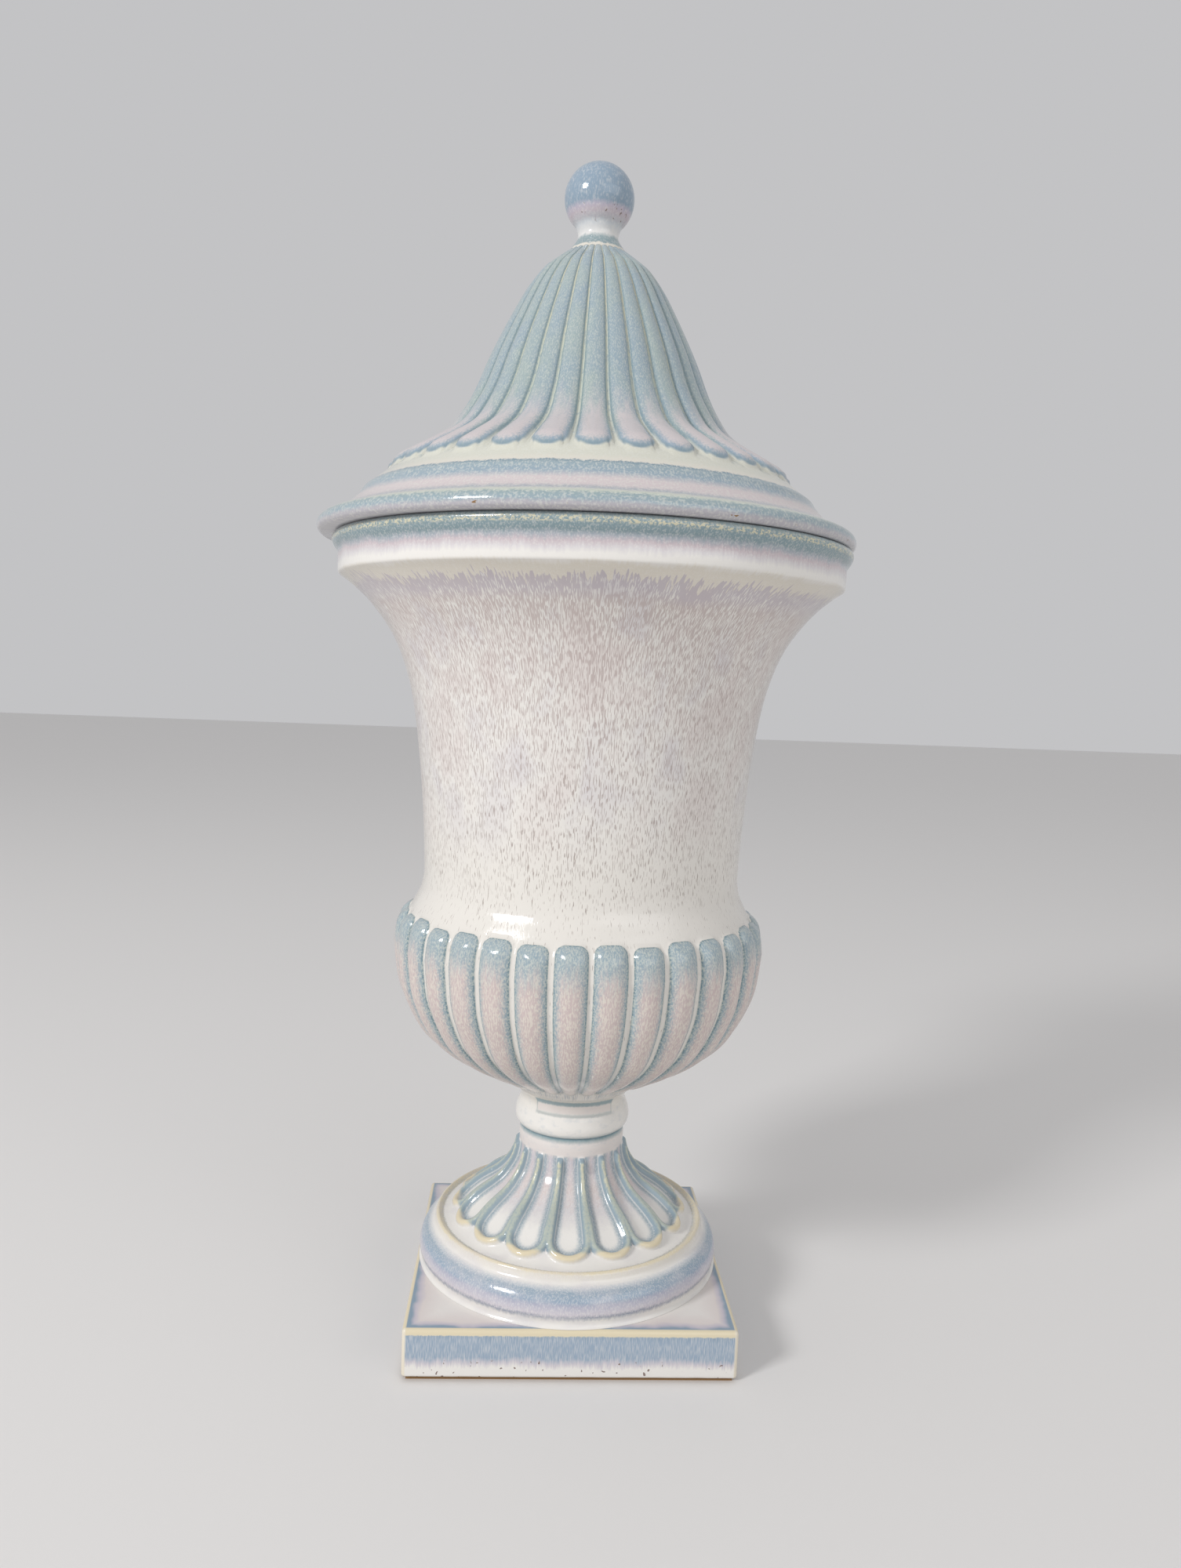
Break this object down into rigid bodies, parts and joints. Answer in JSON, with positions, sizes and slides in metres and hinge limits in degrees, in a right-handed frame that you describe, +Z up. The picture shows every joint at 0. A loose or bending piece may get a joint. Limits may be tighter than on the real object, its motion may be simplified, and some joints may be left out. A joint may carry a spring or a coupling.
{
  "type": "lidded urn vase",
  "caption": "Tall glazed ceramic campana urn with a gadrooned bowl, flared neck, petalled foot, square plinth and a lift-off reeded domed lid with a ball knob.",
  "frame": {"origin": "centre of the square plinth, on the surface that it stands on", "axes": "+Z up along the turning axis, -Y out of the front face of the plinth, +X to the right seen from the front"},
  "size_m": [0.228, 0.228, 0.4974],
  "materials": {
    "plinth_glaze": "glossy drip glaze, crystalline and pooled in the grooves",
    "foot_glaze": "glossy drip glaze, crystalline and pooled in the grooves",
    "body_glaze": "glossy drip glaze, crystalline and pooled in the grooves",
    "lid_glaze": "glossy drip glaze, crystalline and pooled in the grooves",
    "knob_glaze": "glossy drip glaze, crystalline and pooled in the grooves"
  },
  "bodies": {
    "urn": {"plinth": "plinth_glaze", "pedestal": "foot_glaze", "urn_body": "body_glaze"},
    "lid": {"lid": "lid_glaze", "finial": "knob_glaze"}
  },
  "joints": [
    {"name": "lid_lift", "type": "slide", "parent": "urn", "child": "lid", "axis": [0, 0, 1], "range_m": [0, 0.15]}
  ]
}
